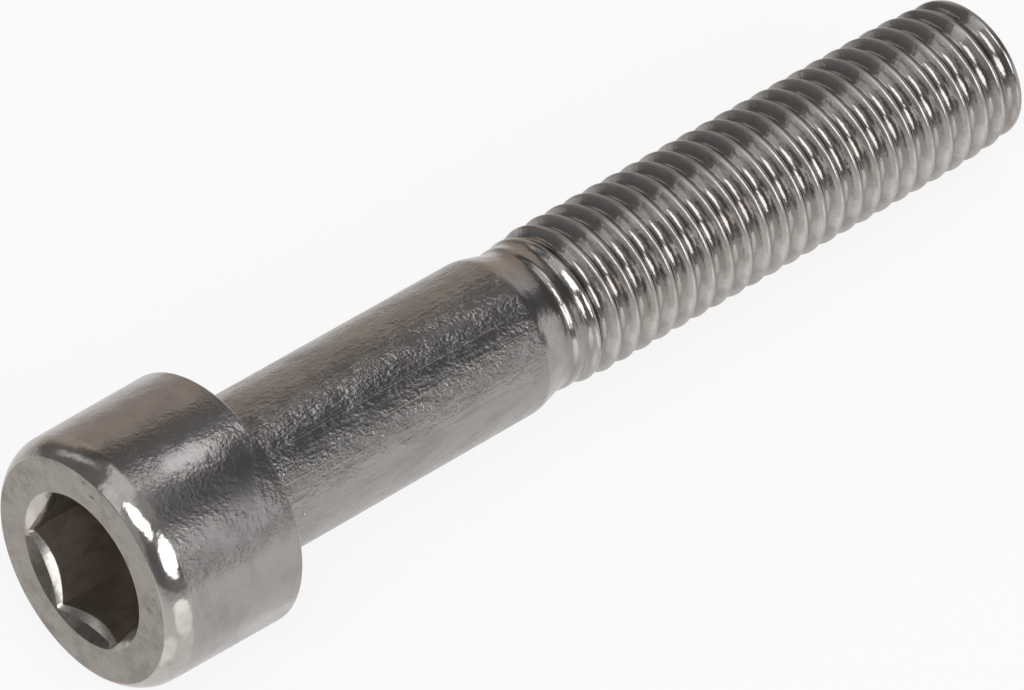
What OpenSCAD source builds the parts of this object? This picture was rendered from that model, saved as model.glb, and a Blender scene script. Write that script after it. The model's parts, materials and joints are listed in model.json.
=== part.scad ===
// Hex socket head cap screw, M10 x 60, partly threaded: one forged, turned and broached solid.
// It lies on its side, as it comes to rest: the rim of the head and the last full thread
// crest touch the ground. The threaded length is a plain cylinder at its crest diameter.

/* [Screw] */
// Nominal diameter
screw_d = 10; // [9:0.1:12]
// Length under the head
screw_l = 60.2; // [50:0.2:80]
// How far the plain shank stays inside the nominal radius
shank_gap = 0.07; // [0:0.01:0.15]
// Length of the plain shank, up to the taper
shank_l = 21.5; // [10:0.1:30]
// Length of the taper from the shank down to the neck
taper_l = 1.85; // [0.5:0.05:3]
// Length of the neck, where the thread runs out
neck_l = 0.3; // [0.2:0.1:2]
// Radius of the fillet under the head
fillet_r = 0.5; // [0.2:0.05:0.8]

/* [Head] */
// Largest diameter of the head, at its bearing face
head_d = 15.65; // [14.6:0.05:19]
// Height of the head
head_h = 9.55; // [8:0.05:12]
// Draft of the head's side, which narrows towards the face, in degrees
head_draft = 0.6; // [0:0.1:1.5]
// Radius of the rounded front edge
edge_r = 1.95; // [0.6:0.05:2.5]
// Angle of the crease where the flat face cuts the rounded edge short
edge_crease = 37; // [20:1:60]
// Break on the rim of the bearing face
rim_break = 0.12; // [0.05:0.01:0.3]

/* [Socket] */
// Width of the hexagon across its flats
socket_af = 8; // [5:0.1:9.6]
// Depth of the hexagonal walls
socket_depth = 5.2; // [3:0.1:6.2]
// Included angle of the pointed floor
floor_angle = 120; // [90:1:150]
// Width of the ledge between the flats and the pointed floor
floor_ledge = 0.15; // [0.05:0.05:0.5]
// How far the mouth reaches past the hexagon's corners
mouth_gap = 0.26; // [0.15:0.01:0.5]
// Depth of the steep lip round the mouth
lip_depth = 0.18; // [0.05:0.01:0.3]
// Included angle of the steep lip
lip_angle = 50; // [20:5:70]
// Included angle of the countersink inside the lip
mouth_angle = 118; // [90:1:140]
// Turn of the hexagon about the screw's axis
socket_turn = 26.5; // [0:0.5:59.5]

/* [Thread] */
// Pitch of the thread
pitch = 1.5; // [1:0.25:2]
// How far the crests stay inside the nominal radius
crest_gap = 0.18; // [0:0.01:0.25]
// How far the neck stays inside the thread's basic pitch radius
neck_gap = 0.08; // [0:0.01:0.15]
// Length of the run-out, in pitches
runout_turns = 2.5; // [0.5:0.25:3]
// Length of the slim lead-in before the rounded end
lead_l = 3.2; // [0.5:0.1:4]
// Fall of the lead-in's radius
lead_drop = 0.17; // [0.15:0.01:0.4]
// Length of the rounded end
tip_l = 0.8; // [0.4:0.1:2]
// Fall of the rounded end's radius, to the edge of the flat tip
tip_drop = 0.14; // [0.05:0.01:0.4]

/* [Hidden] */
$fn = 96;
// How far the cutting tools start outside the surface that they open
clear = 1;

shank_r = screw_d / 2 - shank_gap;
// Height of the thread's basic triangle; the neck is as thick as the thread's pitch diameter
triangle_h = pitch * sqrt(3) / 2;
neck_r = screw_d / 2 - 3 / 8 * triangle_h - neck_gap;
crest_r = screw_d / 2 - crest_gap;
lead_r = crest_r - lead_drop;
tip_r = lead_r - tip_drop;

// Radii of the head at its bearing face, behind the rounded edge, and of its flat face
head_r = head_d / 2;
edge_h = edge_r * cos(edge_crease);
front_r = head_r - (head_h - edge_h) * tan(head_draft);
face_r = front_r - edge_r * (1 - sin(edge_crease));

socket_corner_r = socket_af / sqrt(3);
mouth_r = socket_corner_r + mouth_gap;
lip_r = mouth_r - lip_depth * tan(lip_angle / 2);

// Stations along the axis, counted from the bearing face towards the tip
taper_z = shank_l + taper_l;
runout_z = taper_z + neck_l;
thread_z = runout_z + runout_turns * pitch;
tip_z = screw_l - tip_l;
lead_z = tip_z - lead_l;

// Tilt at which the head's rim stands on one level with the thread, which touches with its last
// full crest, or on a steeper screw with the end of its lead-in
crest_slope = (head_r - crest_r) / (lead_z + rim_break);
lead_slope = (head_r - lead_r) / (tip_z + rim_break);
rest_tilt = atan(min(crest_slope, lead_slope));
axis_height = head_r * cos(rest_tilt) - rim_break * sin(rest_tilt);
face_x = -head_h * cos(rest_tilt) - face_r * sin(rest_tilt);
tip_x = screw_l * cos(rest_tilt) + tip_r * sin(rest_tilt);

// The outlines below are halves of the section, with the axis at x = 0 and the bearing face at y = 0

module head_outline() {
    difference() {
        polygon([
            [0, -head_h], [front_r, -head_h], [front_r, edge_h - head_h],
            [head_r, -rim_break], [head_r - rim_break, 0], [0, 0]
        ]);
        translate([front_r - edge_r, edge_h - head_h])
            difference() {
                translate([0, -edge_h - clear]) square([edge_r + clear, edge_h + clear]);
                circle(edge_r);
            }
    }
}

module fillet_outline() {
    difference() {
        translate([shank_r - clear, -clear]) square(fillet_r + clear);
        translate([shank_r + fillet_r, fillet_r]) circle(fillet_r);
    }
}

module shank_outline() {
    polygon([
        [0, -clear], [shank_r, -clear], [shank_r, shank_l], [neck_r, taper_z], [neck_r, runout_z],
        [crest_r, thread_z], [crest_r, lead_z], [lead_r, tip_z], [0, tip_z]
    ]);
}

// The rounded end is one arc that leaves the lead-in along the axis and is cut off flat
module tip_outline() {
    arc_r = (pow(tip_drop, 2) + pow(tip_l, 2)) / (2 * tip_drop);
    difference() {
        translate([0, tip_z - clear]) square([lead_r, tip_l + clear]);
        translate([lead_r - arc_r, tip_z])
            difference() {
                square([arc_r + clear, tip_l + clear]);
                circle(arc_r);
            }
    }
}

module turned_blank() {
    rotate_extrude() {
        head_outline();
        fillet_outline();
        shank_outline();
        tip_outline();
    }
}

// What the socket takes out: hexagonal walls, a pointed floor, and a mouth of a steep lip with a
// shallow countersink inside it, which the flats cut into six crescents
module socket_space() {
    floor_r = socket_af / 2 - floor_ledge;
    lip_slope = tan(lip_angle / 2);
    rotate(socket_turn) translate([0, 0, -clear])
        cylinder(h = socket_depth + clear, r = socket_corner_r, $fn = 6);
    translate([0, 0, socket_depth])
        cylinder(h = floor_r / tan(floor_angle / 2), r1 = floor_r, r2 = 0);
    translate([0, 0, -clear])
        cylinder(h = lip_depth + clear, r1 = lip_r + (lip_depth + clear) * lip_slope, r2 = lip_r);
    translate([0, 0, lip_depth])
        cylinder(h = lip_r / tan(mouth_angle / 2), r1 = lip_r, r2 = 0);
}

module screw() {
    color("#a39d97")
        translate([-(face_x + tip_x) / 2, 0, axis_height])
        rotate([0, 90 + rest_tilt, 0])
        difference() {
            turned_blank();
            translate([0, 0, -head_h]) socket_space();
        }
}

screw();
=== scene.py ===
import json
from math import atan2, cos, hypot, pi, radians, sin, tan

import bmesh
import bpy
from mathutils import Matrix, Vector


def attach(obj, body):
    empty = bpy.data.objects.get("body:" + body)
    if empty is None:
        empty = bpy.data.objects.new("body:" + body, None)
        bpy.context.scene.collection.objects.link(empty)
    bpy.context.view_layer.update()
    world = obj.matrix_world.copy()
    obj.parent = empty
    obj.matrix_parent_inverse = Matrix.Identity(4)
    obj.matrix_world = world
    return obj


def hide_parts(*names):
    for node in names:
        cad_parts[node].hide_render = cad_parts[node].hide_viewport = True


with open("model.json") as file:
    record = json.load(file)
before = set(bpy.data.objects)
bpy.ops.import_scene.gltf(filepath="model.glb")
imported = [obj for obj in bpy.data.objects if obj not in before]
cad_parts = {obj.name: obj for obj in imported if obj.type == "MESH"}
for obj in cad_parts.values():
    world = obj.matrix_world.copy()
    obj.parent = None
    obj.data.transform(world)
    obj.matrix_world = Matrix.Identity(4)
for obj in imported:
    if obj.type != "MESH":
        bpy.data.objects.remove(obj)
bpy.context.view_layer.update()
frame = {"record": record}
mounts = {mount["name"]: mount for mount in frame["record"]["mounts"]}
mm = 0.001
print("frame loaded")

headSize = {  # millimetres, with heights counted from the bearing face towards the tip
    "height": 9.55,
    "radius": 7.825,
    "draft": radians(0.6),
    "edgeRadius": 1.95,
    "edgeCrease": radians(37),
    "edgeFill": 0.97,   # how much of the room at the edge its rounding takes
    "faceRound": 0.05,
    "rimBreak": 0.12,
    "rimRound": 0.04,
    "segments": 192,
}
socketSize = {
    "acrossFlats": 8.0,
    "depth": 5.2,
    "turn": radians(26.5),
    "mouthGap": 0.26,
    "mouthRound": 0.02,
    "mouthStart": 0.03,   # width of the countersink's first ring
    "mouthSlope": radians(36),
    "leadSlope": radians(67),
    "leadWidth": (0.15, 0.25),   # at the corners and in the middle of the flats
    "leadBreak": 0.01,
    "wallBreak": (0.02, 0.03),   # above and below the edge between lead-in and wall
    "wallRings": (0.3, 0.6, 0.99),
    "ledge": 0.15,
    "ledgeDrop": 0.02,
    "floorSlope": radians(30),
    "floorRings": (0.5, 0.02),
}
shankSize = {
    "radius": 4.93,
    "length": 21.5,
    "taper": 1.85,
    "taperRound": 0.35,
    "neck": 0.3,
    "fillet": 0.5,
}
threadSize = {
    "diameter": 10.0,
    "pitch": 1.5,
    "crestGap": 0.18,
    "neckGap": 0.08,
    "flankTilt": radians(60),
    "crestRadius": 0.2,
    "rootRadius": 0.52,
    "start": 0.35,   # counted from the end of the shank's taper
    "fadeIn": 3.2,
    "blankRadius": 4.54,   # of the plain bar between the neck and the thread
    "blankRise": 0.3,
    "leadStart": 56.2,
    "leadDrop": 0.17,
    "roundedEnd": 0.8,
    "tipDrop": 0.14,
    "lastCrest": 0.75,   # in pitches, how near to the end a turn's crest may start
    "runOut": (0.12, pi / 3),   # height and angle in which the last groove comes up
    "end": 60.12,
    "endRound": 0.12,
    "endRings": ((0.03, 0.06), (0.07, 0.045), (0.12, 0.02)),   # inward and onward
    "endFace": (3.4, 0.2),
    "endLean": 0.052,
    "endTurn": radians(220),
    "phase": 28.92,
    "stepsPerTurn": 96,
}
meshing = {
    "cornerSteps": ((0.6, 12), (0.2, 8), (0, 4)),   # segments of a rounding above a length
    "ringReach": 0.02,
    "turnMerge": 0.002,
    "pieceMerge": 0.0005,
    "sharpAngle": radians(40),
}

# the key socket's mount is the middle of the head's face, and its axis points out of the head
faceCentre = Vector(mounts["key_socket"]["pos_m"])
alongAxis = -Vector(mounts["key_socket"]["axis"])
sideways = Vector((0, 1, 0))
upright = alongAxis.cross(sideways)
turnedRound = Matrix((-upright, sideways, alongAxis)).transposed().to_4x4()
placeScrew = Matrix.Translation(faceCentre) @ turnedRound
placeScrew = placeScrew @ Matrix.Scale(mm, 4) @ Matrix.Translation((0, 0, headSize["height"]))


def addObject(name, data):
    piece = bpy.data.objects.new(name, data)
    bpy.context.scene.collection.objects.link(piece)
    return piece


def smooth(value, low, high):
    share = min(1, max(0, (value - low) / (high - low)))
    return share * share * (3 - 2 * share)


def drawOutline(bm, corners):
    # a corner is (radius, height, rounding), and its rounding is what it takes off both sides
    verts = [bm.verts.new((radius, 0, height)) for radius, height, rounding in corners]
    edges = [bm.edges.new(pair) for pair in zip(verts, verts[1:])]
    for vert, (radius, height, rounding) in zip(verts, corners):
        if rounding:
            segments = next(steps for least, steps in meshing["cornerSteps"] if rounding > least)
            bmesh.ops.bevel(bm, geom=[vert], offset=rounding, offset_type="OFFSET",
                            segments=segments, profile=0.5, affect="VERTICES", material=-1)
    return bm.edges[:]


def neckRadius():
    size = threadSize
    return size["diameter"] / 2 - 0.375 * size["pitch"] * cos(pi / 6) - size["neckGap"]


def mouthRadius():
    return socketSize["acrossFlats"] / 2 / cos(pi / 6) + socketSize["mouthGap"]


def turnHead(bm):
    size, hole, shank = headSize, socketSize, shankSize
    crease = size["edgeCrease"]
    frontHeight = size["height"] - size["edgeRadius"] * cos(crease)
    frontRadius = size["radius"] - frontHeight * tan(size["draft"])
    faceRadius = frontRadius - size["edgeRadius"] * (1 - sin(crease))
    edgeOffset = size["edgeRadius"] * tan((pi / 2 - crease) / 2)
    top = -size["height"]
    neckHeight = shank["length"] + shank["taper"]
    edges = drawOutline(bm, [
        (mouthRadius() - hole["mouthStart"], top + hole["mouthStart"] * tan(hole["mouthSlope"]), 0),
        (mouthRadius(), top, hole["mouthRound"]),
        (faceRadius, top, size["faceRound"]),
        (faceRadius + edgeOffset * cos(crease), top + edgeOffset * sin(crease),
         edgeOffset * size["edgeFill"]),
        (size["radius"], -size["rimBreak"], size["rimRound"]),
        (size["radius"] - size["rimBreak"], 0, size["rimRound"]),
        (shank["radius"], 0, shank["fillet"]),
        (shank["radius"], shank["length"], shank["taperRound"]),
        (neckRadius(), neckHeight, shank["taperRound"]),
        (neckRadius(), neckHeight + shank["neck"], 0),
    ])
    bmesh.ops.rotate(bm, verts=bm.verts, matrix=Matrix.Rotation(hole["turn"], 3, "Z"))
    bmesh.ops.spin(bm, geom=bm.verts[:] + edges, axis=(0, 0, 1), steps=size["segments"],
                   angle=2 * pi, use_merge=True)


def edgeRing(bm, height):
    return [edge for edge in bm.edges if edge.is_boundary
            and all(abs(vert.co.z - height) < meshing["ringReach"] for vert in edge.verts)]


def hexRadius(point):
    # distance from the axis to the hexagon's wall in a point's direction
    turn = (atan2(point.y, point.x) - socketSize["turn"]) % (pi / 3)
    return socketSize["acrossFlats"] / 2 / cos(turn - pi / 6)


def growRing(bm, ring, radius, height):
    # extrudes a ring of edges to a radius and a height, which may depend on the point
    grown = bmesh.ops.extrude_edge_only(bm, edges=ring)["geom"]
    edges = [item for item in grown if isinstance(item, bmesh.types.BMEdge)]
    for vert in {vert for edge in edges for vert in edge.verts}:
        newRadius, newHeight = radius(vert.co), height(vert.co)
        share = newRadius / hypot(vert.co.x, vert.co.y)
        vert.co = (vert.co.x * share, vert.co.y * share, newHeight)
    return [edge for edge in edges if edge.is_boundary]


def broachSocket(bm):
    hole = socketSize
    top = -headSize["height"]
    wallEnd = top + hole["depth"]
    flatRadius = hole["acrossFlats"] / 2
    floorRadius = flatRadius - hole["ledge"]
    cornerRadius = flatRadius / cos(pi / 6)
    mouthRise, leadRise = tan(hole["mouthSlope"]), tan(hole["leadSlope"])
    narrow, wide = hole["leadWidth"]
    above, below = hole["wallBreak"]

    def leadRadius(point):
        # where the countersink turns into the steeper lead-in of a flat
        share = (cornerRadius - hexRadius(point)) / (cornerRadius - flatRadius)
        return hexRadius(point) + narrow + (wide - narrow) * share

    def leadHeight(point, inward=0.0):
        return top + (mouthRadius() - leadRadius(point)) * mouthRise + inward * leadRise

    def wallTop(point):
        return leadHeight(point, leadRadius(point) - hexRadius(point))

    ring = edgeRing(bm, top + hole["mouthStart"] * mouthRise)
    ring = growRing(bm, ring, lambda point: leadRadius(point) + hole["leadBreak"],
                    lambda point: leadHeight(point) - hole["leadBreak"] * mouthRise)
    ring = growRing(bm, ring, lambda point: leadRadius(point) - hole["leadBreak"],
                    lambda point: leadHeight(point, hole["leadBreak"]))
    ring = growRing(bm, ring, lambda point: hexRadius(point) + above,
                    lambda point: wallTop(point) - above * leadRise)
    ring = growRing(bm, ring, hexRadius, wallTop)
    ring = growRing(bm, ring, hexRadius, lambda point: wallTop(point) + below)
    for share in hole["wallRings"]:
        ring = growRing(bm, ring, hexRadius,
                        lambda point: wallEnd * share + wallTop(point) * (1 - share))
    ring = growRing(bm, ring, hexRadius, lambda point: wallEnd)
    ring = growRing(bm, ring, lambda point: floorRadius,
                    lambda point: wallEnd + hole["ledgeDrop"])
    for share in hole["floorRings"]:
        ring = growRing(bm, ring, lambda point: floorRadius * share,
                        lambda point: wallEnd + floorRadius * (1 - share) * tan(hole["floorSlope"]))
    bmesh.ops.edgeloop_fill(bm, edges=ring)


def endTilt():
    # the end of the rolled thread is a little out of square
    lean, turn = threadSize["endLean"], threadSize["endTurn"]
    return Vector((lean * sin(turn), -lean * cos(turn), 1)).normalized()


def endLimit(height):
    # how far the crests may reach on the lead-in and on the rounded end
    size = threadSize
    crestRadius = size["diameter"] / 2 - size["crestGap"]
    roundStart = size["end"] - size["roundedEnd"]
    lead = (height - size["leadStart"]) / (roundStart - size["leadStart"])
    arcRadius = (size["tipDrop"] ** 2 + size["roundedEnd"] ** 2) / (2 * size["tipDrop"])
    past = min(size["roundedEnd"], max(0, height - roundStart))
    fall = arcRadius - (arcRadius ** 2 - past ** 2) ** 0.5
    return crestRadius - size["leadDrop"] * min(1, max(0, lead)) - fall


def spinTurns(bm, peak, valley, start):
    # one turn is spun up the helix, and the others are copies of it
    size = threadSize
    pitch, rise = size["pitch"], tan(size["flankTilt"])
    steps = size["stepsPerTurn"]
    bottom = start - 3 * pitch + (size["phase"] - start) % pitch
    edges = drawOutline(bm, [
        (peak - pitch / 4 * rise, bottom + pitch / 4, 0),
        (valley, bottom + pitch / 2, size["rootRadius"] * rise),
        (peak, bottom + pitch, size["crestRadius"] * rise),
        (peak - pitch / 4 * rise, bottom + pitch * 1.25, 0),
    ])
    bmesh.ops.spin(bm, geom=bm.verts[:] + edges, axis=(0, 0, 1), dvec=(0, 0, pitch / steps),
                   steps=steps, angle=2 * pi, use_merge=False)
    firstTurn = bm.verts[:] + bm.edges[:] + bm.faces[:]
    for turn in range(1, int((size["end"] - bottom) / pitch) + 2):
        copied = bmesh.ops.duplicate(bm, geom=firstTurn)["geom"]
        verts = [item for item in copied if isinstance(item, bmesh.types.BMVert)]
        bmesh.ops.translate(bm, verts=verts, vec=(0, 0, turn * pitch))
    bmesh.ops.remove_doubles(bm, verts=bm.verts, dist=meshing["turnMerge"])


def rollThread(bm):
    size = threadSize
    pitch = size["pitch"]
    crestRadius = size["diameter"] / 2 - size["crestGap"]
    # a rounding keeps the crest and the root short of the sharp corners of the thread's triangle
    sharper = 1 / cos(size["flankTilt"]) - 1
    peak = crestRadius + size["crestRadius"] * sharper
    valley = peak - pitch / 2 * tan(size["flankTilt"])
    start = shankSize["length"] + shankSize["taper"] + size["start"]
    spinTurns(bm, peak, valley, start)
    for centre, outward in ((Vector((0, 0, start)), Vector((0, 0, -1))),
                            (Vector((0, 0, size["end"] - size["endRound"])), endTilt())):
        bmesh.ops.bisect_plane(bm, geom=bm.verts[:] + bm.edges[:] + bm.faces[:], plane_co=centre,
                               plane_no=outward, clear_outer=True)
    rootRadius = valley + size["rootRadius"] * sharper
    lastRoom = size["end"] - size["lastCrest"] * pitch - size["phase"]
    lastCrest = size["phase"] + pitch * int(lastRoom / pitch)
    runHeight, runTurn = size["runOut"]
    for vert in bm.verts:
        height = vert.co.z
        radius = hypot(vert.co.x, vert.co.y)
        shown = smooth(height, start, start + size["fadeIn"])
        risen = smooth(height, start, start + size["blankRise"])
        blank = neckRadius() + (size["blankRadius"] - neckRadius()) * risen
        newRadius = blank + (radius - size["blankRadius"]) * shown
        limit = endLimit(height)
        if limit < crestRadius:
            kept = (limit - rootRadius) / (crestRadius - rootRadius)
            newRadius = rootRadius + (newRadius - rootRadius) * kept
        # past the last crest the groove runs out on the end
        turn = atan2(vert.co.y, vert.co.x) % (2 * pi)
        past = height - lastCrest - pitch * turn / (2 * pi)
        newRadius += (limit - newRadius) * smooth(past, 0, runHeight) * smooth(turn, 0, runTurn)
        vert.co.x *= newRadius / radius
        vert.co.y *= newRadius / radius
    return start


def onPlane(point, normal, height, radius):
    # the height of a plane at a point's direction from the axis
    turn = atan2(point.y, point.x)
    return height - (normal.x * cos(turn) + normal.y * sin(turn)) * radius / normal.z


def closeEnd(bm):
    # rounds the end over and closes it
    size = threadSize
    tilt = endTilt()
    ring = [edge for edge in bm.edges if edge.is_boundary
            and all(vert.co.z > size["end"] - size["roundedEnd"] for vert in edge.verts)]
    for inward, onward in size["endRings"]:
        ring = growRing(bm, ring, lambda point: hypot(point.x, point.y) - inward,
                        lambda point: point.z + onward)
    for radius in size["endFace"]:
        ring = growRing(bm, ring, lambda point: radius,
                        lambda point: onPlane(point, tilt, size["end"], radius))
    bmesh.ops.edgeloop_fill(bm, edges=ring)


slotNames = ["faceSteel", "edgeSteel", "headSteel", "drawnSteel", "rolledSteel", "crestSteel",
             "mouthSteel", "shadedRingSteel", "socketSteel"]
zones = {  # millimetres, where one finish gives way to the next
    "wall": 0.012,   # beyond the hexagon
    "wallDepth": 1.5,
    "countersink": 0.02,
    "brightFlats": (radians(57), radians(305)),   # the countersink gets painted shade, a darker finish, outside these turns
    "edge": 0.01,
    "taper": 0.1,
    "firstCrest": 5,   # past the shank
    "crestRadius": 4.68,
}


def chooseMouthSlot(centre, radius, depth):
    if radius < hexRadius(centre) + zones["wall"] or depth > zones["wallDepth"]:
        return "socketSteel"
    turn = (atan2(centre.y, centre.x) - socketSize["turn"]) % (2 * pi)
    first, last = zones["brightFlats"]
    sinkWidth = depth / tan(socketSize["mouthSlope"]) - zones["countersink"]
    onCountersink = mouthRadius() - radius > sinkWidth
    # outside the bright flats the countersink takes the darker finish, which paints shade on it
    return "shadedRingSteel" if onCountersink and not first <= turn <= last else "mouthSteel"


def chooseSlot(face):
    # every zone of the screw has a finish of its own
    centre = face.calc_center_median()
    radius = hypot(centre.x, centre.y)
    depth = centre.z + headSize["height"]
    if radius < mouthRadius() and centre.z < 0:
        return chooseMouthSlot(centre, radius, depth)
    if depth < zones["edge"]:
        return "faceSteel"
    if depth < headSize["edgeRadius"] * cos(headSize["edgeCrease"]):
        return "edgeSteel"
    if centre.z < zones["edge"]:
        return "headSteel"
    if centre.z < shankSize["length"] - zones["taper"]:
        return "drawnSteel"
    onThread = centre.z > shankSize["length"] + zones["firstCrest"]
    return "crestSteel" if onThread and radius > zones["crestRadius"] else "rolledSteel"


def buildScrew():
    bm = bmesh.new()
    turnHead(bm)
    broachSocket(bm)
    threadBm = bmesh.new()
    start = rollThread(threadBm)
    mesh = bpy.data.meshes.new("thread")
    threadBm.to_mesh(mesh)
    threadBm.free()
    bm.from_mesh(mesh)
    bpy.data.meshes.remove(mesh)
    neckEnd = shankSize["length"] + shankSize["taper"] + shankSize["neck"]
    bmesh.ops.bridge_loops(bm, edges=edgeRing(bm, neckEnd) + edgeRing(bm, start))
    closeEnd(bm)
    bmesh.ops.remove_doubles(bm, verts=bm.verts, dist=meshing["pieceMerge"])
    bmesh.ops.recalc_face_normals(bm, faces=bm.faces)
    for face in bm.faces:
        face.smooth = True
        face.material_index = slotNames.index(chooseSlot(face))
    bmesh.ops.transform(bm, matrix=placeScrew, verts=bm.verts)
    mesh = bpy.data.meshes.new("screw_body")
    bm.to_mesh(mesh)
    bm.free()
    mesh.set_sharp_from_angle(angle=meshing["sharpAngle"])
    print("screw built with", len(mesh.polygons), "faces")
    return addObject("screw_body", mesh)


class Wire:
    # an output socket that does sums by adding Math nodes
    def __init__(self, tree, socket):
        self.tree = tree
        self.socket = socket

    def math(self, operation, *values):
        inputs = dict(enumerate(values))
        return addNode(self.tree, "ShaderNodeMath", {"operation": operation}, inputs)

    def __add__(self, other):
        return self.math("ADD", self, other)

    def __sub__(self, other):
        return self.math("SUBTRACT", self, other)

    def __rsub__(self, other):
        return self.math("SUBTRACT", other, self)

    def __mul__(self, other):
        return self.math("MULTIPLY", self, other)

    def __truediv__(self, other):
        return self.math("DIVIDE", self, other)

    def __rtruediv__(self, other):
        return self.math("DIVIDE", other, self)

    def __abs__(self):
        return self.math("ABSOLUTE", self)

    __radd__ = __add__
    __rmul__ = __mul__


def clearTree(owner):
    # a material's or a world's node tree, emptied
    owner.use_nodes = True
    owner.node_tree.nodes.clear()
    return owner.node_tree


def addNode(tree, kind, settings={}, inputs={}, output=0):
    # settings come first, because they decide which sockets a node shows
    node = tree.nodes.new(kind)
    for name, value in settings.items():
        setattr(node, name, value)
    for name, value in inputs.items():
        if isinstance(value, Wire):
            tree.links.new(value.socket, node.inputs[name])
        else:
            node.inputs[name].default_value = value
    return Wire(tree, node.outputs[output]) if node.outputs else node


def vectorMath(tree, operation, *values):
    # a length, a distance and a dot product come out of the second socket
    number = operation in ("LENGTH", "DISTANCE", "DOT_PRODUCT")
    return addNode(tree, "ShaderNodeVectorMath", {"operation": operation},
                   dict(enumerate(values)), output=int(number))


def mixColours(tree, factor, first, second):
    # sockets 6 and 7 are the colours of a Mix node
    return addNode(tree, "ShaderNodeMix", {"data_type": "RGBA"},
                   {0: factor, 6: first, 7: second}, output=2)


def fade(tree, value, low, high, lowResult=0.0, highResult=1.0):
    return addNode(tree, "ShaderNodeMapRange", {"interpolation_type": "SMOOTHSTEP"},
                   {"Value": value, 1: low, 2: high, 3: lowResult, 4: highResult})


def noise(tree, place, stretch, detail=2.0, roughness=0.5):
    return addNode(tree, "ShaderNodeTexNoise", {}, {
        "Vector": vectorMath(tree, "MULTIPLY", place, stretch),
        "Scale": 1.0, "Detail": detail, "Roughness": roughness})


patterns = {
    "stainFade": (0.42, 0.68),
    "stainShare": 0.6,
    "wornFade": (0.35, 0.65, 0.3, 1.2),   # the worn patches keep 0.3 of the grain
    "lineFade": (0.6, 0.68),
    "pitCore": 0.3,   # share of a pit's radius that is flat
    "pitDepth": 0.06,
}
finishes = {
    # heights are millimetres, and a stretch is features per millimetre across, across and along
    # the axis; the painted valley shade has the radii between which it fades, its share and its
    # colour
    "faceSteel": {
        "base": (0.36, 0.33, 0.295, 1), "stain": (0.24, 0.215, 0.19, 1),
        "stainStretch": (0.8, 0.8, 0.8),
        "gloss": 0.24, "glossChange": 0.16,
        "bumps": [((4, 4, 4), 0.03), ((0.7, 0.7, 0.7), 0.1)],
        "worn": (0.5, 0.5, 0.5),
        "pits": [((-6.925, -0.072, -9.55), 0.45), ((-6.2, -0.8, -9.55), 0.3),
                 ((-1.329, -5.803, -9.55), 0.5), ((-2.2, -6.1, -9.55), 0.25)],
    },
    "edgeSteel": {
        "base": (0.50, 0.47, 0.435, 1), "stain": (0.36, 0.33, 0.30, 1),
        "stainStretch": (0.7, 0.7, 0.7),
        "gloss": 0.09, "glossChange": 0.08,
        "bumps": [((1.1, 1.1, 1.1), 0.03), ((4, 4, 4), 0.005)],
    },
    "headSteel": {
        "base": (0.40, 0.375, 0.36, 1), "stain": (0.31, 0.285, 0.27, 1),
        "stainStretch": (0.6, 0.6, 0.6),
        "gloss": 0.14, "glossChange": 0.1,
        "bumps": [((2.6, 2.6, 2.6), 0.012), ((5, 5, 5), 0.022)],
        "worn": (0.6, 0.6, 0.6),
    },
    "drawnSteel": {
        "base": (0.385, 0.364, 0.345, 1), "stain": (0.30, 0.28, 0.265, 1),
        "stainStretch": (0.8, 0.8, 0.3),
        "gloss": 0.15, "glossChange": 0.1,
        "bumps": [((5.6, 5.6, 4.8), 0.05), ((5, 5, 0.4), 0.024)],
        "worn": (0.9, 0.9, 0.6),
        "lines": ((4.2, 4.2, 0.08), 0.01),
        "pits": [((-0.647, -4.887, 2.579), 0.16)],
    },
    "rolledSteel": {
        "base": (0.47, 0.44, 0.415, 1), "stain": (0.34, 0.31, 0.285, 1),
        "stainStretch": (0.8, 0.8, 1.2),
        "gloss": 0.12, "glossChange": 0.08,
        "bumps": [((1.2, 1.2, 2.0), 0.03), ((5, 5, 8), 0.004)],
        # painted shade: the base colour darkens towards the thread's valleys, standing in for the
        # shade between the turns
        "paintedValleyShade": (4.3, 4.72, 0.62, (0.24, 0.215, 0.195, 1)),
        "pits": [((-3.059, -3.568, 31.98), 0.2), ((-2.062, -4.223, 45.075), 0.2),
                 ((-0.887, -4.616, 45.095), 0.25)],
    },
    "crestSteel": {
        "base": (0.50, 0.47, 0.44, 1), "stain": (0.38, 0.35, 0.32, 1),
        "stainStretch": (0.8, 0.8, 1.2),
        "gloss": 0.26, "glossChange": 0.1,
        "bumps": [((3, 3, 5), 0.01)],
    },
    "mouthSteel": {
        "base": (0.52, 0.485, 0.445, 1), "stain": (0.25, 0.21, 0.17, 1),
        "stainStretch": (0.8, 0.8, 0.8),
        "gloss": 0.14, "glossChange": 0.1,
        "bumps": [((2, 2, 2), 0.01)],
    },
    # painted shade: a darker copy of the countersink's finish for the turns where it lies in shade
    "shadedRingSteel": {
        "base": (0.22, 0.19, 0.165, 1), "stain": (0.12, 0.1, 0.085, 1),
        "stainStretch": (1.5, 1.5, 1.5),
        "gloss": 0.3, "glossChange": 0.1,
        "bumps": [((3, 3, 3), 0.02)],
    },
    "socketSteel": {
        "base": (0.46, 0.41, 0.36, 1), "stain": (0.24, 0.2, 0.165, 1),
        "stainStretch": (0.7, 0.7, 0.5),
        "gloss": 0.3, "glossChange": 0.2,
        "bumps": [((1.5, 1.5, 0.6), 0.05), ((5, 5, 2), 0.006)],
    },
}


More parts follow.
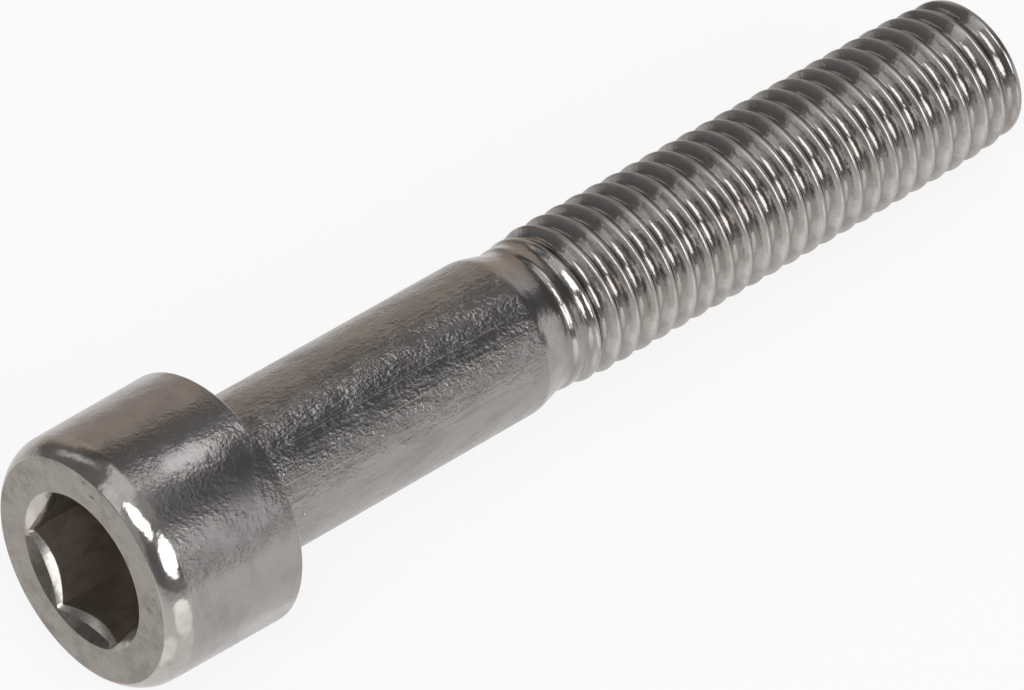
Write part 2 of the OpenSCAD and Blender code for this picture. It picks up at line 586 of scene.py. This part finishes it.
def grainHeight(tree, place, look):
    height = 0.0
    for stretch, depth in look["bumps"]:
        height = height + noise(tree, place, stretch) * depth
    if "worn" in look:
        patches = noise(tree, place, look["worn"], 3.0, 0.6)
        height = height * fade(tree, patches, *patterns["wornFade"])
    if "lines" in look:
        stretch, depth = look["lines"]
        lines = noise(tree, place, stretch, 1.0)
        height = height + fade(tree, lines, *patterns["lineFade"]) * depth
    for middle, radius in look.get("pits", []):
        away = vectorMath(tree, "DISTANCE", place, middle)
        pit = fade(tree, away, radius * patterns["pitCore"], radius, 1.0, 0.0)
        height = height - pit * patterns["pitDepth"]
    return height


def makeFinish(name):
    look = finishes[name]
    material = bpy.data.materials.new(name)
    tree = clearTree(material)
    # the Mapping node turns the pattern into the screw's own millimetres, with Z along its axis
    place = addNode(tree, "ShaderNodeMapping", {"vector_type": "TEXTURE"}, {
        "Vector": addNode(tree, "ShaderNodeTexCoord", output=3),
        "Location": placeScrew.to_translation(), "Rotation": placeScrew.to_euler(),
        "Scale": (mm, mm, mm)})
    cloud = noise(tree, place, look["stainStretch"], 4.0, 0.6)
    stain = fade(tree, cloud, *patterns["stainFade"]) * patterns["stainShare"]
    baseColour = mixColours(tree, stain, look["base"], look["stain"])
    # painted shade: the base colour darkens towards the thread's valleys, where shade falls between
    # the turns
    if "paintedValleyShade" in look:
        low, high, share, dark = look["paintedValleyShade"]
        radius = vectorMath(tree, "LENGTH", vectorMath(tree, "MULTIPLY", place, (1, 1, 0)))
        shadedShare = fade(tree, radius, low, high, share, 0.0)
        baseColour = mixColours(tree, shadedShare, baseColour, dark)
    bump = addNode(tree, "ShaderNodeBump", {}, {
        "Height": grainHeight(tree, place, look), "Distance": mm, "Strength": 1.0})
    shader = addNode(tree, "ShaderNodeBsdfPrincipled", {}, {
        "Base Color": baseColour, "Metallic": 1.0,
        "Roughness": look["gloss"] + cloud * look["glossChange"], "Normal": bump})
    addNode(tree, "ShaderNodeOutputMaterial", {}, {"Surface": shader})
    return material


screwBody = buildScrew()
for name in slotNames:
    screwBody.data.materials.append(makeFinish(name))
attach(screwBody, "root")
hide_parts("screw")
print("screw finished")

cameraView = {
    "azimuth": radians(-42.746),   # 0 looks along +Y, and -90 along +X
    "elevation": radians(42.417),
    "distance": 0.500047,
    "aim": (-0.001617, 0.000666, 0.004333),
    "lens": 304.3,
    "sensorWidth": 36,
    "clipStart": 0.01,
}


def addCamera():
    view = cameraView
    camera = bpy.data.cameras.new("camera")
    camera.lens = view["lens"]
    camera.sensor_width = view["sensorWidth"]
    camera.clip_start = view["clipStart"]
    piece = addObject("camera", camera)
    turn = Matrix.Rotation(view["azimuth"], 4, "Z")
    turn = turn @ Matrix.Rotation(pi / 2 - view["elevation"], 4, "X")
    back = Matrix.Translation((0, 0, view["distance"]))
    piece.matrix_world = Matrix.Translation(view["aim"]) @ turn @ back
    bpy.context.scene.camera = piece


studio = {
    "floorSize": 3.0,
    "floorColour": (0.9, 0.9, 0.9, 1),
    "floorShown": 0.86,   # the rest of the floor stays matt and keeps the screw's shadow
    "floorMirrored": 0.75,
    "floorGloss": 0.1,
    "floorSheen": 2.0,   # index of refraction of the glossy paper that metal sees
    # how bright metal sees the paper, and the distances from the screw's line where that falls off
    "paper": (0.02, 0.075, 0.55),
    "paperStretch": (0.3, 1, 0),
    "ambient": 0.5,
    "skyLevel": 0.2,
    "skyColour": (0.95, 0.97, 1, 1),
    "warmColour": (1, 0.89, 0.80, 1),
    "warmSide": (60, 10),
    "warmFade": (0.7, 0.9),
    # azimuth, elevation, width and height in degrees, how soft its edge is, and its level
    "cards": [
        (55, 16, 56, 44, 0.3, 0.5),
        (-100, 80, 80, 50, 0.4, 0.4),
        (-176, 60, 30, 30, 0.4, 0.45),
        (106, 86, 48, 30, 0.3, 0.85),
        (16, 24, 26, 24, 0.4, 0.5),
        (-22, 34, 34, 36, 0.3, 0.12),
        (-28, 4, 20, 20, 0.5, 0.8),
        (68, 50, 34, 12, 0.4, 0.12),
        (-138, 16, 34, 34, 0.4, 0.17),
        (106, 38, 10, 34, 0.5, 0.7),
        (-58, 16, 12, 34, 0.7, 0.9),
        (-172, 24, 34, 36, 0.4, 0.45),
        (168, 42, 18, 46, 0.4, 0.95),
    ],
    # name, azimuth, elevation, width, height and roll in degrees, level that it shows at,
    # distance, and the point that these count from
    "lamps": [
        ("lampNear", -95, 27, 47, 33, 18, 3.0, 0.9, (0, 0, 0)),
        ("lampAbove", -142, 53, 36, 27, -6, 3.0, 0.9, (0, 0, 0)),
        ("lampSmall", -1, 57, 20, 8, 0, 1.4, 0.13, (-0.0277, -0.0027, 0.0152)),
    ],
    "lampColour": (0.95, 0.97, 1),
    "nearLamp": 0.5,   # a lamp nearer than this only makes highlights
}


def lookFrom(azimuth, elevation):
    turn, lift = radians(azimuth), radians(elevation)
    return Vector((cos(turn) * cos(lift), sin(turn) * cos(lift), sin(lift)))


def cardAxes(azimuth, elevation, roll=0):
    # right, up and outward directions of a card or lamp
    outward = lookFrom(azimuth, elevation)
    right = Vector((-outward.y, outward.x, 0)).normalized()
    up = outward.cross(right)
    lean = radians(roll)
    return right * cos(lean) + up * sin(lean), up * cos(lean) - right * sin(lean), outward


def addLamps():
    for name, azimuth, elevation, width, height, roll, level, reach, target in studio["lamps"]:
        lamp = bpy.data.lights.new(name, "AREA")
        lamp.shape = "ELLIPSE"
        lamp.size, lamp.size_y = (2 * reach * tan(radians(angle) / 2) for angle in (width, height))
        lamp.energy = level * pi * pi / 4 * lamp.size * lamp.size_y
        lamp.color = studio["lampColour"]
        piece = addObject(name, lamp)
        right, up, outward = cardAxes(azimuth, elevation, roll)
        facing = Matrix((right, up, outward)).transposed().to_4x4()
        piece.matrix_world = Matrix.Translation(Vector(target) + outward * reach) @ facing
        piece.visible_camera = False
        piece.visible_diffuse = reach > studio["nearLamp"]


def rayKinds(tree):
    # what the camera sees, and what metal and glass see
    outputs = addNode(tree, "ShaderNodeLightPath").socket.node.outputs
    camera, glossy, clear = (Wire(tree, outputs[kind]) for kind in (
        "Is Camera Ray", "Is Glossy Ray", "Is Transmission Ray"))
    return camera, glossy + clear


def cardShown(tree, direction, azimuth, elevation, width, height, softness):
    # 1 inside a card and 0 outside it, with a soft edge
    right, up, outward = cardAxes(azimuth, elevation)
    ahead = vectorMath(tree, "DOT_PRODUCT", direction, outward)
    reach = 0.0
    for axis, angle in ((right, width), (up, height)):
        aside = abs(vectorMath(tree, "DOT_PRODUCT", direction, axis)) / ahead
        reach = ahead.math("MAXIMUM", aside / tan(radians(angle) / 2), reach)
    inside = fade(tree, reach, 1 - softness, 1 + softness, 1.0, 0.0)
    return inside * ahead.math("GREATER_THAN", ahead, 0.0)


def addSky():
    world = bpy.data.worlds.new("studio")
    tree = clearTree(world)
    direction = addNode(tree, "ShaderNodeTexCoord")
    level = studio["skyLevel"]
    for azimuth, elevation, width, height, softness, wanted in studio["cards"]:
        shown = cardShown(tree, direction, azimuth, elevation, width, height, softness)
        level = shown * wanted + (1 - shown) * level
    camera, mirrored = rayKinds(tree)
    warmth = vectorMath(tree, "DOT_PRODUCT", direction, lookFrom(*studio["warmSide"]))
    warmth = fade(tree, warmth, *studio["warmFade"])
    tint = mixColours(tree, warmth, studio["skyColour"], studio["warmColour"])
    shader = addNode(tree, "ShaderNodeBackground", {}, {
        "Color": mixColours(tree, mirrored, (1, 1, 1, 1), tint),
        "Strength": camera + mirrored * level + (1 - mirrored) * (1 - camera) * studio["ambient"]})
    addNode(tree, "ShaderNodeOutputWorld", {}, {"Surface": shader})
    bpy.context.scene.world = world


def paperFinish():
    material = bpy.data.materials.new("paleFloor")
    tree = clearTree(material)
    camera, mirrored = rayKinds(tree)
    place = addNode(tree, "ShaderNodeTexCoord", output=3)
    across = vectorMath(tree, "MULTIPLY", place, studio["paperStretch"])
    near, far, level = studio["paper"]
    bright = fade(tree, vectorMath(tree, "LENGTH", across), near, far, 1.0, level)
    seen = camera * studio["floorShown"] + mirrored * bright * studio["floorMirrored"]
    matt = addNode(tree, "ShaderNodeBsdfDiffuse", {}, {"Color": studio["floorColour"]})
    plain = addNode(tree, "ShaderNodeEmission", {}, {"Color": (1, 1, 1, 1), "Strength": 1.0})
    paper = addNode(tree, "ShaderNodeMixShader", {}, {0: seen, 1: matt, 2: plain})
    gloss = addNode(tree, "ShaderNodeBsdfGlossy", {}, {
        "Color": (1, 1, 1, 1), "Roughness": studio["floorGloss"]})
    sheen = addNode(tree, "ShaderNodeFresnel", {}, {"IOR": studio["floorSheen"]}) * mirrored
    surface = addNode(tree, "ShaderNodeMixShader", {}, {0: sheen, 1: paper, 2: gloss})
    addNode(tree, "ShaderNodeOutputMaterial", {}, {"Surface": surface})
    return material


def addFloor():
    bm = bmesh.new()
    bmesh.ops.create_grid(bm, x_segments=1, y_segments=1, size=studio["floorSize"] / 2)
    mesh = bpy.data.meshes.new("floor")
    bm.to_mesh(mesh)
    bm.free()
    mesh.materials.append(paperFinish())
    addObject("floor", mesh)


addCamera()
addLamps()
addSky()
addFloor()
bpy.context.scene.view_settings.view_transform = "Standard"
print("studio ready")
